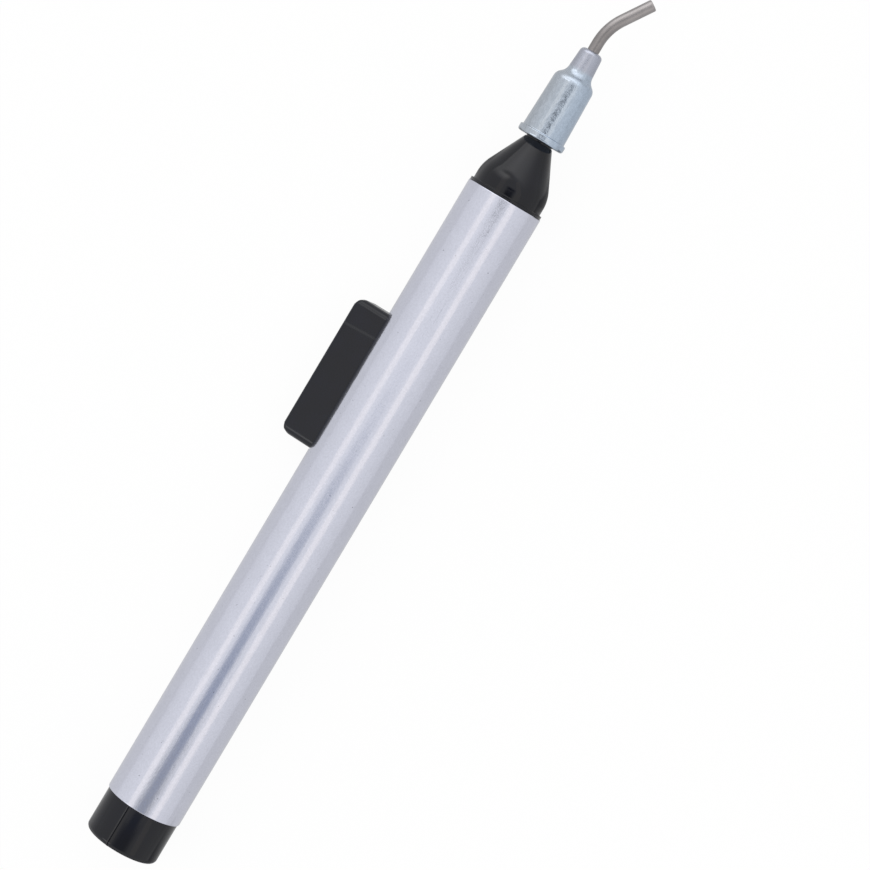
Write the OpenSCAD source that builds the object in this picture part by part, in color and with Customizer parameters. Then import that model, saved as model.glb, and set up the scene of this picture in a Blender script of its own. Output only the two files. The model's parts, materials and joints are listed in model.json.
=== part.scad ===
// Vacuum pick up pen, lying on its barrel and on the lower edge of its push button.
// The pieces are drawn about the pen's own axis, with x from the rear end of the
// barrel towards the needle, and are then laid down on the table together.

/* [Barrel] */
// Outside diameter of the tube
barrel_d = 12; // [11:0.1:14]
// Length of the tube
barrel_len = 103.8; // [96:0.1:125]
// Wall of the tube
barrel_wall = 0.7; // [0.5:0.05:0.9]
// Chamfer on the cut ends of the tube
barrel_chamfer = 0.15; // [0.05:0.01:0.2]

/* [Tail plug] */
// Length of the cap behind the tube
cap_len = 6.95; // [5:0.05:12]
// Step from the outside of the tube in to the cap
cap_inset = 0.2; // [0.05:0.05:0.5]
// Radius of the cap's end edge
cap_fillet = 0.8; // [0.3:0.05:1.5]
// Length of the hollow spigot inside the tube
spigot_len = 9; // [6:0.5:15]
// Wall of the spigot
spigot_wall = 1.2; // [0.8:0.1:1.6]
// Thickness of the cap's end
cap_end_t = 2; // [1.5:0.1:3]
// Radial clearance of the plugs in the tube
plug_gap = 0.03; // [0.02:0.01:0.1]

/* [Nose cone] */
// Thickness of the flange on the end of the tube
nose_flange_t = 0.5; // [0.3:0.05:1]
// Step from the outside of the tube in to the flange
nose_flange_inset = 0.1; // [0.05:0.05:0.3]
// Step from the outside of the tube in to the base of the nose
nose_base_inset = 0.45; // [0.35:0.05:0.7]
// Length of the straight base in front of the flange
nose_base_len = 1; // [0.5:0.1:3]
// Radius of the shoulder between the base and the cone
nose_shoulder_r = 5.9; // [4:0.1:8]
// Half angle of the cone
nose_cone_angle = 26.3; // [20:0.1:30]
// Diameter of the small end of the cone
nose_tip_d = 4.5; // [4.4:0.05:4.8]
// Wall around the hollow inside of the nose
nose_wall = 1.2; // [0.9:0.1:1.5]
// Length of the nose's plug inside the tube
nose_plug_len = 8; // [6:0.5:12]
// Diameter of the core around the air way
nose_core_d = 5; // [4.8:0.1:5.4]
// Diameter of the air way
air_bore_d = 2.2; // [1.6:0.1:2.4]

/* [Slip taper] */
// Diameter at the root of the taper
taper_d = 4.24; // [4.2:0.01:4.3]
// Length of the taper
taper_len = 7.5; // [6:0.1:8]
// Growth in diameter for each unit of length
taper_slope = 0.06; // [0.05:0.005:0.07]
// Radial clearance between the taper and the hub
taper_gap = 0.03; // [0.02:0.01:0.08]
// Gap between the cone and the mouth of the hub
hub_standoff = 0.2; // [0.1:0.05:0.6]

/* [Needle hub] */
// Diameter of the flange at the mouth
hub_flange_d = 7.45; // [7.45:0.05:8]
// Thickness of the flange
hub_flange_t = 1.1; // [0.7:0.1:1.5]
// Radius of the flange's edges
hub_edge_r = 0.3; // [0.1:0.05:0.3]
// Diameter of the body above the flange
hub_base_d = 6.8; // [6.5:0.05:6.8]
// Diameter of the body at its shoulder
hub_top_d = 6.3; // [6:0.05:6.4]
// Length of the body
hub_body_len = 8.2; // [7:0.1:11]
// Radius of the round shoulder
hub_shoulder_r = 1.4; // [1:0.1:2]
// Radius of the fillet between the shoulder and the neck
neck_root_r = 1.7; // [1.5:0.1:3]
// Diameter at the foot of the neck
neck_base_d = 4; // [3.5:0.02:4.2]
// Diameter at the top of the neck
neck_top_d = 3.45; // [3:0.05:3.5]
// Length of the neck
neck_len = 3.3; // [2.5:0.1:6]
// Radius of the neck's end edge
neck_fillet = 0.5; // [0.2:0.05:0.6]
// Length of the needle's seat beyond the taper of the bore
needle_seat_len = 5; // [4:0.1:6]
// Radial gap of the soldered seat
needle_seat_gap = 0.02; // [0.01:0.01:0.05]

/* [Needle] */
// Outside diameter of the needle
needle_d = 1.8; // [1.5:0.05:2.1]
// Inside diameter of the needle
needle_bore_d = 1.3; // [0.9:0.05:1.35]
// Distance from the neck to the corner of the bend
needle_reach = 3.9; // [3:0.1:8]
// Distance from the corner of the bend to the tip
needle_tip_len = 7.5; // [5:0.1:12]
// Angle of the bend
needle_bend_angle = 33.2; // [15:0.1:45]
// Radius of the bend at the middle of the needle
needle_bend_r = 8.4; // [5:0.1:8.9]
// How much the tube swells along its bend
needle_swell = 0.01; // [0.01:0.005:0.03]
// Chamfer around the tip
needle_chamfer = 0.1; // [0.05:0.01:0.15]

/* [Push button] */
// Length of the button
button_len = 22.6; // [16:0.1:28]
// Width of the button
button_w = 5.6; // [4.8:0.1:6]
// How far the button stands out of the tube
button_proud = 4.95; // [4.5:0.05:7]
// Distance from the rear end of the tube to the button
button_rear = 58.25; // [50:0.05:60]
// Radius of the outer corners in the side view
button_end_r = 1.4; // [0.8:0.1:2]
// Radius of the upright corners
button_corner_r = 1.2; // [0.4:0.1:1.4]
// Radius of the long outer edges
button_edge_r = 0.6; // [0.3:0.1:1]
// Wall of the moulded button
button_wall = 1.3; // [1:0.1:1.6]
// Number of stiffening ribs inside the button
button_ribs = 2; // [1:1:4]
// Clearance around the button in its slot
slot_gap = 0.2; // [0.1:0.05:0.4]
// Width of the saddle that keeps the button in the tube
saddle_w = 7.6; // [7:0.1:8]
// Thickness of the saddle
saddle_t = 1; // [0.7:0.1:1.2]
// How far the saddle runs past each end of the button
saddle_overhang = 1.5; // [1:0.1:3]
// Radial clearance between the saddle and the tube
saddle_gap = 0.15; // [0.1:0.05:0.3]

/* [Squeeze bulb] */
// Length of the bulb in front of its round end
bulb_len = 52; // [46:0.5:60]
// Wall of the bulb
bulb_wall = 1; // [0.7:0.1:1.3]
// Gap between the bulb and the saddle
bulb_gap = 0.15; // [0.1:0.05:0.3]
// Outside diameter of the bulb's neck
bulb_neck_d = 6.2; // [6:0.1:6.6]
// Length of the bulb's neck
bulb_neck_len = 6; // [5.5:0.1:9]
// Radius of the two bends of the bulb's shoulder
bulb_shoulder_r = 1.3; // [1:0.1:2]
// Diameter of the stem that carries the bulb
stem_d = 3.6; // [3.2:0.1:3.8]
// Diameter of the barbs on the stem
barb_d = 4.4; // [4:0.1:4.6]
// Length of one barb
barb_len = 1.6; // [1:0.1:1.8]
// Number of barbs
barb_count = 2; // [1:1:3]
// Gap between the stem and the stretched neck of the bulb
stem_gap = 0.03; // [0.02:0.01:0.06]

/* [Hidden] */
$fn = 96;

// Flat steps along each round stretch of a turned outline
arc_steps = 10;
// Chamfer that leads a plug into the tube
lead_in = 0.5;
// How far a cut runs past the material
overcut = 1;
// How far the needle's straight legs run into its bend
leg_run_in = 0.3;

barrel_r = barrel_d / 2;
bore_r = barrel_r - barrel_wall;
plug_r = bore_r - plug_gap;
cap_r = barrel_r - cap_inset;

// Stations of the nose along the axis
flange_x = barrel_len + nose_flange_t;
shoulder_x = flange_x + nose_base_len;
nose_base_r = barrel_r - nose_base_inset;
cone_r = nose_base_r - nose_shoulder_r * (1 - cos(nose_cone_angle));
cone_x = shoulder_x + nose_shoulder_r * sin(nose_cone_angle);
taper_x = cone_x + (cone_r - nose_tip_d / 2) / tan(nose_cone_angle);
taper_end_x = taper_x + taper_len;
nose_plug_x = barrel_len - nose_plug_len;

// Stations of the hub along the axis
mouth_x = taper_x + hub_standoff;
hub_body_x = mouth_x + hub_flange_t;
hub_shoulder_x = hub_body_x + hub_body_len;
neck_x = hub_shoulder_x + step_length(hub_top_d / 2, neck_base_d / 2, hub_shoulder_r, neck_root_r);
hub_end_x = neck_x + neck_len;
seat_x = hub_end_x - needle_seat_len;
seat_r = needle_d / 2 + needle_seat_gap;
drill_x = seat_x - taper_r(seat_x) + seat_r;

// Lengths of the needle's two straight legs on either side of its bend
bend_setback = needle_bend_r * tan(needle_bend_angle / 2);
bend_x = hub_end_x + needle_reach - bend_setback;
seat_leg_len = bend_x - seat_x;
tip_leg_len = needle_tip_len - bend_setback;
tip_x = hub_end_x + needle_reach + needle_tip_len * cos(needle_bend_angle)
    + needle_d / 2 * sin(needle_bend_angle);

// Levels of the button above the axis
button_top = barrel_r + button_proud;
button_mid_x = button_rear + button_len / 2;
saddle_outer_r = bore_r - saddle_gap;
saddle_inner_r = saddle_outer_r - saddle_t;
saddle_len = button_len + 2 * saddle_overhang;
pocket_len = button_len - 2 * button_wall;
pocket_w = button_w - 2 * button_wall;
rib_pitch = pocket_len / (button_ribs + 1);

// Stations of the bulb along the axis
bulb_r = saddle_inner_r - bulb_gap;
bulb_inner_r = bulb_r - bulb_wall;
bulb_neck_r = bulb_neck_d / 2;
bulb_neck_x = nose_plug_x - bulb_neck_len;
bulb_shoulder_x = bulb_neck_x - step_length(bulb_r, bulb_neck_r, bulb_shoulder_r, bulb_shoulder_r);
bulb_round_x = nose_plug_x - bulb_len;

// Roll at which the barrel and the button's lower edge both touch the table
edge_y = button_top - button_edge_r;
edge_w = button_w / 2 - button_edge_r;
roll = asin((barrel_r - button_edge_r) / norm([edge_y, edge_w])) - atan2(edge_w, edge_y);
button_reach = edge_y * cos(roll) + edge_w * sin(roll) + button_edge_r;

// Place of the pen's rear end over the table, with the origin under the middle of the pen
axis_place = [(cap_len - tip_x) / 2, (barrel_r - button_reach) / 2, barrel_r];

// Radius of the nose's slip taper at a station
function taper_r(x) = taper_d / 2 - taper_slope / 2 * (x - taper_x);

// Points of an arc from one angle to another
function arc(mid, radius, from, to) = [
    for (i = [0 : arc_steps])
        let (angle = from + (to - from) * i / arc_steps)
            mid + radius * [cos(angle), sin(angle)]
];

// Steepest angle of a curved step from one radius to a smaller one, with a round and a fillet
function step_angle(r_from, r_to, round_r, fillet_r) =
    acos(1 - (r_from - r_to) / (round_r + fillet_r));

// Length of that step along the axis
function step_length(r_from, r_to, round_r, fillet_r) =
    (round_r + fillet_r) * sin(step_angle(r_from, r_to, round_r, fillet_r));

// Points of that step, round at its large end and filleted at its small end
function curved_step(x, r_from, r_to, round_r, fillet_r) =
    let (
        angle = step_angle(r_from, r_to, round_r, fillet_r),
        foot = [r_to + fillet_r, x + step_length(r_from, r_to, round_r, fillet_r)],
        fillet = arc(foot, fillet_r, 180 + angle, 180)
    )
    concat(arc([r_from - round_r, x], round_r, 0, angle), [for (i = [1 : arc_steps]) fillet[i]]);

// Points of the barbed stem from its free end to the nose, larger in radius by the given gap
function stem_points(gap) = concat(
    [
        for (i = [0 : barb_count - 1])
            each [
                [stem_d / 2 + gap, bulb_neck_x + i * barb_len],
                [barb_d / 2 + gap, bulb_neck_x + (i + 1) * barb_len]
            ]
    ],
    [
        [stem_d / 2 + gap, bulb_neck_x + barb_count * barb_len],
        [stem_d / 2 + gap, nose_plug_x]
    ]
);

// The same points in the other order
function reversed(points) = [for (i = [len(points) - 1 : -1 : 0]) points[i]];

// Sets the pen's axis over the table, with the bend of the needle level
module on_axis() {
    translate(axis_place) children();
}

// Rolls the barrel and what it holds until the button's edge meets the table
module rolled() {
    on_axis() rotate([-roll, 0, 0]) children();
}

// Turns an outline of radius against station about the pen's axis
module turned(points) {
    rotate([0, 90, 0]) rotate_extrude() polygon(points);
}

// Solid rod along the pen's axis between two stations
module rod(radius, from, to) {
    turned([[0, from], [radius, from], [radius, to], [0, to]]);
}

// Draws an outline of length against width up from the axis to a level
module upright(level) {
    rotate([-90, 0, 0]) linear_extrude(level) children();
}

// Rectangle about the origin with round corners
module rounded_rect(size, radius) {
    square([size.x - 2 * radius, size.y], center = true);
    square([size.x, size.y - 2 * radius], center = true);
    for (i = [-1, 1], j = [-1, 1])
        translate([i * (size.x / 2 - radius), j * (size.y / 2 - radius)]) circle(radius);
}

// Drawn tube with chamfered ends and a slot for the button
module barrel() {
    color([0.78, 0.78, 0.82]) rolled() difference() {
        turned([
            [bore_r + barrel_chamfer, 0],
            [barrel_r - barrel_chamfer, 0],
            [barrel_r, barrel_chamfer],
            [barrel_r, barrel_len - barrel_chamfer],
            [barrel_r - barrel_chamfer, barrel_len],
            [bore_r + barrel_chamfer, barrel_len],
            [bore_r, barrel_len - barrel_chamfer],
            [bore_r, barrel_chamfer]
        ]);
        translate([button_mid_x, 0, 0]) upright(barrel_r + overcut)
            rounded_rect([button_len, button_w] + 2 * slot_gap * [1, 1], button_corner_r + slot_gap);
    }
}

// Moulded cap on a hollow spigot that is pushed into the rear of the tube
module tail_plug() {
    color([0.17, 0.17, 0.18]) rolled() turned(concat(
        [[0, -cap_len]],
        arc([cap_r - cap_fillet, cap_fillet - cap_len], cap_fillet, -90, 0),
        [
            [cap_r, 0],
            [plug_r, 0],
            [plug_r, spigot_len - lead_in],
            [plug_r - lead_in, spigot_len],
            [plug_r - spigot_wall, spigot_len],
            [plug_r - spigot_wall, cap_end_t - cap_len],
            [0, cap_end_t - cap_len]
        ]
    ));
}

// Moulded nose with a flange, a shoulder, a cone and a slip taper, hollow around a core,
// and with a barbed stem for the bulb at its rear
module nose_cone() {
    color([0.17, 0.17, 0.18]) rolled() turned(concat(
        [[air_bore_d / 2, bulb_neck_x]],
        stem_points(0),
        [
            [nose_core_d / 2, nose_plug_x],
            [nose_core_d / 2, shoulder_x],
            [plug_r - nose_wall, shoulder_x],
            [plug_r - nose_wall, nose_plug_x],
            [plug_r - lead_in, nose_plug_x],
            [plug_r, nose_plug_x + lead_in],
            [plug_r, barrel_len],
            [barrel_r - nose_flange_inset, barrel_len],
            [barrel_r - nose_flange_inset, flange_x],
            [nose_base_r, flange_x]
        ],
        arc([nose_base_r - nose_shoulder_r, shoulder_x], nose_shoulder_r, 0, nose_cone_angle),
        [
            [nose_tip_d / 2, taper_x],
            [taper_d / 2, taper_x],
            [taper_r(taper_end_x), taper_end_x],
            [air_bore_d / 2, taper_end_x]
        ]
    ));
}

// Plated hub with a round-edged flange and a tapered bore that slips on the nose
module needle_hub() {
    flange_r = hub_flange_d / 2;
    color([0.74, 0.77, 0.81]) on_axis() turned(concat(
        arc([flange_r - hub_edge_r, mouth_x + hub_edge_r], hub_edge_r, -90, 0),
        arc([flange_r - hub_edge_r, hub_body_x - hub_edge_r], hub_edge_r, 0, 90),
        [[hub_base_d / 2, hub_body_x]],
        curved_step(hub_shoulder_x, hub_top_d / 2, neck_base_d / 2, hub_shoulder_r, neck_root_r),
        arc([neck_top_d / 2 - neck_fillet, hub_end_x - neck_fillet], neck_fillet, 0, 90),
        [
            [seat_r, hub_end_x],
            [seat_r, seat_x],
            [taper_r(drill_x) + taper_gap, drill_x],
            [taper_r(mouth_x) + taper_gap, mouth_x]
        ]
    ));
}

// Round rod along the needle's two legs and its bend, with its ends run out by a length
module needle_rod(radius, chamfer, run_out) {
    rod(radius, -seat_leg_len - run_out, leg_run_in);
    translate([0, -needle_bend_r, 0]) {
        rotate_extrude(angle = needle_bend_angle, start = 90 - needle_bend_angle)
            translate([needle_bend_r, 0]) circle(radius + needle_swell);
        rotate([0, 0, -needle_bend_angle]) translate([0, needle_bend_r, 0]) turned([
            [0, -leg_run_in],
            [radius, -leg_run_in],
            [radius, tip_leg_len - chamfer],
            [radius - chamfer, tip_leg_len + run_out],
            [0, tip_leg_len + run_out]
        ]);
    }
}

// Bent steel tube, soldered into the neck of the hub
module needle_tube() {
    color([0.55, 0.54, 0.53]) on_axis() translate([bend_x, 0, 0]) difference() {
        needle_rod(needle_d / 2, needle_chamfer, 0);
        needle_rod(needle_bore_d / 2, 0, overcut);
    }
}

// Block of the button, rounded in its side view, in plan and in section
module button_block() {
    intersection() {
        linear_extrude(button_w, center = true)
            rounded_rect([button_len, 2 * button_top], button_end_r);
        rotate([0, 90, 0]) linear_extrude(button_len, center = true)
            rounded_rect([button_w, 2 * button_top], button_edge_r);
        upright(button_top) rounded_rect([button_len, button_w], button_corner_r);
    }
}

// Moulded button, hollow and ribbed inside, with a curved saddle that rests on the bulb
module push_button() {
    color([0.15, 0.15, 0.16]) rolled() translate([button_mid_x, 0, 0]) difference() {
        union() {
            button_block();
            intersection() {
                rod(saddle_outer_r, -saddle_len / 2, saddle_len / 2);
                upright(saddle_outer_r) square([saddle_len, saddle_w], center = true);
            }
        }
        rod(saddle_inner_r, -saddle_len / 2 - overcut, saddle_len / 2 + overcut);
        upright(button_top - button_wall) difference() {
            square([pocket_len, pocket_w], center = true);
            for (i = [1 : button_ribs])
                translate([i * rib_pitch - pocket_len / 2, 0])
                    square([button_wall, button_w], center = true);
        }
    }
}

// Closed rubber bulb, stretched over the barbed stem
module squeeze_bulb() {
    color([0.1, 0.1, 0.1]) rolled() turned(concat(
        arc([0, bulb_round_x], bulb_r, -90, 0),
        curved_step(bulb_shoulder_x, bulb_r, bulb_neck_r, bulb_shoulder_r, bulb_shoulder_r),
        [[bulb_neck_r, nose_plug_x]],
        reversed(stem_points(stem_gap)),
        [[bulb_inner_r, bulb_shoulder_x]],
        arc([0, bulb_round_x], bulb_inner_r, 0, -90)
    ));
}

barrel();
tail_plug();
nose_cone();
needle_hub();
needle_tube();
push_button();
squeeze_bulb();
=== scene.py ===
"""Vacuum pick up pen: its finished pieces, their materials and a photo studio around them."""

import json
from math import acos, atan2, cos, pi, radians, sin, tan

import bmesh
import bpy
from bpy.props import FloatProperty, FloatVectorProperty, IntProperty, PointerProperty
from mathutils import Matrix, Vector


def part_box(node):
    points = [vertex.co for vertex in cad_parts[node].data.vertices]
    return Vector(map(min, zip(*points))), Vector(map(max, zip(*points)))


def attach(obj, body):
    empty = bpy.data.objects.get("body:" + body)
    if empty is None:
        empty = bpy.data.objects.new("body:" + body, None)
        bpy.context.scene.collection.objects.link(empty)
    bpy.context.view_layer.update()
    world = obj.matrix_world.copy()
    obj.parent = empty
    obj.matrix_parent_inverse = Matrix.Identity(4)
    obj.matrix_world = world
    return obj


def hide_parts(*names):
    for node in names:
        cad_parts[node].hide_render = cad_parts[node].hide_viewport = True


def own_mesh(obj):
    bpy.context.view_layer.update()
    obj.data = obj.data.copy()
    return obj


bl_info = {
    "name": "Vacuum pick up pen",
    "version": (1, 0, 0),
    "blender": (4, 5, 0),
    "location": "3D View > Sidebar > Pen",
    "description": "Builds the pieces of a vacuum pick up pen, their finishes and a photo studio",
    "category": "Object",
}

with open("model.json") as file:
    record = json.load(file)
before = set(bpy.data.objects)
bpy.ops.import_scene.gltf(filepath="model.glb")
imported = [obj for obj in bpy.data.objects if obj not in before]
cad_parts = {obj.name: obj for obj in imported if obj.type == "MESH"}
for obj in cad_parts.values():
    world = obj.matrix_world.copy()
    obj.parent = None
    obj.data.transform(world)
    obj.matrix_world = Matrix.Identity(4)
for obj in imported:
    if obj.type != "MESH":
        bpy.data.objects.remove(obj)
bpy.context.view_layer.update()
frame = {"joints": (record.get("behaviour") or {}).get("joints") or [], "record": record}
MM = 0.001


def row(rows, name):
    """The row of the record that has this name."""
    return next(found for found in rows if found["name"] == name)


SWIVEL = row(frame["joints"], "needle_swivel")
PRESS = row(frame["joints"], "button_press")
TIP = row(frame["record"]["mounts"], "needle_tip")

# The pen's axis starts at the rear end of the tube, and the button stands out across it
REAR = Vector((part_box("barrel")[0].x, *SWIVEL["pos_m"][1:]))
FORWARD = Vector(SWIVEL["axis"])
OUTWARD = -Vector(PRESS["axis"])
ACROSS = FORWARD.cross(OUTWARD)
BUTTON_X = sum(corner.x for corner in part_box("push_button")) / 2 - REAR.x

# The circle that outlines are carried around, wider than any of them
CARRIER_RADIUS = 10 * MM
# Points this close together are one
WELD = 1e-7
# Edges that bend more than this stay sharp, on turned pieces and on the button
SHARP_FROM = radians(25)
BUTTON_SHARP_FROM = radians(28)
# Steps around a moulded bead
BEAD_STEPS = 12
# Steps of a rounded corner, and the attribute that says how far it is rounded
CORNER_STEPS = 12
ROUND = "round"

# Where the noise of the finishes starts
NOISE_PLACE = (0.37, 0.11, 0.53)
# Levels of noise between which grain, wear and bloom grow lighter, and a speck begins
CONTRAST = (0.3, 0.7)
WEAR = (0.35, 0.75)
BLOOM = (0.4, 0.75)
SPECK = (0.775, 0.79)
# Depth of the relief of each finish
DRAWN_RELIEF = 0.014 * MM
MOULDED_RELIEF = 0.004 * MM
BUTTON_RELIEF = 0.006 * MM
PLATED_RELIEF = 0.05 * MM
STEEL_RELIEF = 0.002 * MM
RUBBER_RELIEF = 0.01 * MM
# How much light plastic mirrors, and how much the darker bead of painted shade mirrors
PLASTIC_GLOSS = 0.38
SHADE_GLOSS = 0.1
WHITE = (1, 1, 1)


def station(node, end):
    """Distance along the axis from the tube's rear to the low (0) or high (1) end of a node."""
    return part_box(node)[end].x - REAR.x


def number(name, description, default, **limits):
    """A number for the sidebar."""
    return FloatProperty(name=name, description=description, default=default, **limits)


def count(name, description, default, most):
    """A number of like features for the sidebar."""
    return IntProperty(name=name, description=description, default=default, min=1, max=most)


def length(name, description, millimetres):
    """A length for the sidebar, kept in metres."""
    return number(name, description, millimetres * MM, min=0, precision=5, unit="LENGTH")


def angle(name, description, degrees):
    """An angle for the sidebar."""
    return number(name, description, radians(degrees), unit="ROTATION")


def share(name, description, default):
    """A number from 0 to 1 for the sidebar."""
    return number(name, description, default, min=0, max=1, subtype="FACTOR")


def colour(name, description, default):
    """A colour for the sidebar."""
    limits = {"min": 0, "max": 1, "size": 3, "subtype": "COLOR"}
    return FloatVectorProperty(name=name, description=description, default=default, **limits)


def fade(name, description, low, high, **limits):
    """Two values for the sidebar, between which something fades in or out."""
    limits = {"size": 2, "precision": 4, **limits}
    return FloatVectorProperty(name=name, description=description, default=(low, high), **limits)


def length_fade(name, description, low, high):
    """Two lengths in millimetres for the sidebar, between which something fades, kept in metres."""
    return fade(name, description, low * MM, high * MM, precision=5, unit="LENGTH")


class PEN_PG_tube(bpy.types.PropertyGroup):
    """Sizes of the drawn tube"""

    diameter: length("Diameter", "Outside diameter of the tube", 12)
    wall: length("Wall", "Wall of the tube", 0.7)
    edge: length("Edge", "Rounding of the cut ends", 0.12)
    slot_gap: length("Slot gap", "Clearance around the button in its slot", 0.2)
    slot_corner: length("Slot corner", "Radius of the slot's corners", 0.35)


class PEN_PG_tail(bpy.types.PropertyGroup):
    """Sizes of the tail plug"""

    diameter: length("Diameter", "Diameter of the cap", 11.6)
    end_edge: length("End edge", "Radius of the cap's end edge", 0.8)
    rim_edge: length("Rim edge", "Rounding where the cap meets the tube", 0.18)
    plug_diameter: length("Plug", "Diameter of the spigot inside the tube", 10.54)
    plug_wall: length("Plug wall", "Wall of the spigot", 1.2)
    end_thickness: length("End", "Thickness of the cap's end", 2)
    lead_in: length("Lead in", "Rounding that leads the spigot into the tube", 0.5)
    parting_line: length("Parting line", "Radius of the two beads that the mould leaves", 0.12)
    parting_angle: angle("Parting angle", "Turn of the mould's parting line from the top", 18)
    parting_depth: share("Parting depth", "Share of a bead's radius by which it is sunk", 0.75)
    parting_pitch: number("Parting pitch", "Distance of the two beads, in radii", 1.5)


class PEN_PG_nose(bpy.types.PropertyGroup):
    """Sizes of the nose cone"""

    flange_diameter: length("Flange", "Diameter of the flange on the end of the tube", 11.8)
    flange_thickness: length("Flange thickness", "Thickness of that flange", 0.5)
    base_diameter: length("Base", "Diameter of the base in front of the flange", 11.1)
    base_length: length("Base length", "Length of the straight base", 1)
    shoulder_radius: length("Shoulder", "Radius of the shoulder between the base and the cone", 5.9)
    cone_angle: angle("Cone angle", "Half angle of the cone", 26.3)
    tip_diameter: length("Tip", "Diameter of the small end of the cone", 4.5)
    edge: length("Edge", "Rounding of the moulded edges", 0.1)
    plug_diameter: length("Plug", "Diameter of the plug inside the tube", 10.54)
    plug_length: length("Plug length", "Length of the plug inside the tube", 8)
    lead_in: length("Lead in", "Rounding that leads the plug into the tube", 0.5)
    wall: length("Wall", "Wall around the hollow inside", 1.2)
    core_diameter: length("Core", "Diameter of the core around the air way", 5)
    air_way: length("Air way", "Diameter of the air way", 2.2)
    taper_diameter: length("Taper", "Diameter at the root of the slip taper", 4.24)
    taper_length: length("Taper length", "Length of the slip taper", 7.5)
    taper_slope: share("Taper slope", "Growth in diameter for each unit of length", 0.06)
    stem_diameter: length("Stem", "Diameter of the stem that carries the bulb", 3.6)
    barb_diameter: length("Barb", "Diameter of the barbs on the stem", 4.4)
    barb_length: length("Barb length", "Length of one barb", 1.6)
    barb_count: count("Barbs", "Number of barbs", 2, 3)


class PEN_PG_hub(bpy.types.PropertyGroup):
    """Sizes of the needle hub"""

    flange_diameter: length("Flange", "Diameter of the flange at the mouth", 7.45)
    flange_thickness: length("Flange thickness", "Thickness of that flange", 1.1)
    mouth_edge: length("Mouth edge", "Radius of the flange's edge at the mouth", 0.4)
    flange_edge: length("Flange edge", "Radius of the flange's edge beside the body", 0.16)
    foot_diameter: length("Foot", "Diameter of the body above the flange", 6.8)
    foot_fillet: length("Foot fillet", "Fillet between the flange and the body", 0.15)
    shoulder_diameter: length("Shoulder", "Diameter of the body at its shoulder", 6.3)
    shoulder_radius: length("Shoulder radius", "Radius of the round shoulder", 1.4)
    neck_root: length("Neck root", "Radius of the fillet between the shoulder and the neck", 1.7)
    neck_foot: length("Neck foot", "Diameter at the foot of the neck", 4)
    neck_top: length("Neck top", "Diameter at the top of the neck", 3.45)
    neck_length: length("Neck length", "Length of the neck", 3.3)
    neck_edge: length("Neck edge", "Radius of the neck's end edge", 0.7)
    seat_length: length("Seat", "Length of the needle's seat in the neck", 5)
    seat_rim: length("Seat rim", "Depth of the rim around the needle", 0.14)
    seat_gap: length("Seat gap", "Radial gap of the soldered seat", 0.02)
    taper_gap: length("Taper gap", "Radial clearance on the slip taper", 0.03)


class PEN_PG_needle(bpy.types.PropertyGroup):
    """Sizes of the bent needle"""

    diameter: length("Diameter", "Outside diameter of the needle", 1.8)
    bore: length("Bore", "Inside diameter of the needle", 1.3)
    bend_radius: length("Bend", "Radius of the bend at the middle of the needle", 8.4)
    edge: length("Edge", "Rounding of the cut ends", 0.18)
    tip_inset: length("Tip inset", "Distance from the fitting point to the cut end", 0.1)


class PEN_PG_button(bpy.types.PropertyGroup):
    """Sizes of the push button"""

    length: length("Length", "Length of the button", 22.8)
    offset: length("Offset", "How far the button stands behind the middle of its saddle", 0.1)
    width: length("Width", "Width of the button", 5.6)
    top: length("Top", "Height of the button's face above the pen's axis", 10.95)
    end_corner: length("End corner", "Radius of the outer corners in the side view", 1.4)
    upright_corner: length("Upright corner", "Radius of the upright corners", 1.2)
    edge: length("Edge", "Radius of the long outer edges", 0.6)
    wall: length("Wall", "Wall of the moulded button", 1.3)
    scuff_place: length("Scuff", "Distance of the worn scuff from the middle of the saddle", 7.4)
    rib_count: count("Ribs", "Number of stiffening ribs", 2, 4)
    saddle_radius: length("Saddle", "Outside radius of the saddle inside the tube", 5.15)
    saddle_thickness: length("Saddle thickness", "Thickness of the saddle", 1)
    saddle_width: length("Saddle width", "Width of the saddle", 7.6)


class PEN_PG_bulb(bpy.types.PropertyGroup):
    """Sizes of the rubber bulb"""

    diameter: length("Diameter", "Outside diameter of the bulb", 8)
    wall: length("Wall", "Wall of the bulb", 1)
    neck_diameter: length("Neck", "Outside diameter of the bulb's neck", 6.2)
    neck_length: length("Neck length", "Length of the bulb's neck", 6)
    shoulder_radius: length("Shoulder", "Radius of the two bends of the bulb's shoulder", 1.3)
    stem_gap: length("Stem gap", "Gap between the stem and the stretched neck", 0.03)
    pressed: share("Pressed", "Share of its thickness that is left under the pressed button", 0.3)


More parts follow.
